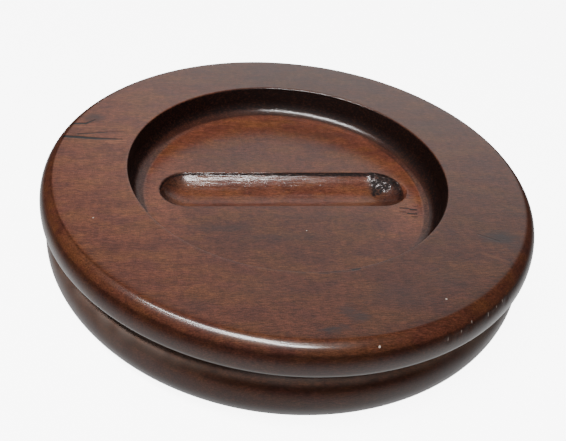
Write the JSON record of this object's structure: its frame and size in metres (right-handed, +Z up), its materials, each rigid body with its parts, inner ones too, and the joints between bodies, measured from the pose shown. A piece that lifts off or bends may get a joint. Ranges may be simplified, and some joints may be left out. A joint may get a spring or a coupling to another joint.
{
  "type": "dip pen holder",
  "caption": "Round turned wooden desk rest for a dip pen: rounded ring over a thicker disc, sharp waist between, coved recess with a round-bottomed trough in its floor.",
  "frame": {"origin": "centre of the rest, on the desk surface under the felt pads", "axes": "+Z up out of the recess, X along the trough and the grain, +Y towards the back of the rest as it is seen with the trough level"},
  "size_m": [0.152, 0.152, 0.0325],
  "materials": {
    "rim_wood": "dark red-brown stain under satin lacquer",
    "base_wood": "dark red-brown stain under satin lacquer",
    "felt": "pressed felt"
  },
  "bodies": {
    "root": {"rim_ring": "rim_wood", "base_disc": "base_wood", "felt_pad_back_right": "felt", "felt_pad_back_left": "felt", "felt_pad_front_left": "felt", "felt_pad_front_right": "felt"}
  },
  "joints": []
}
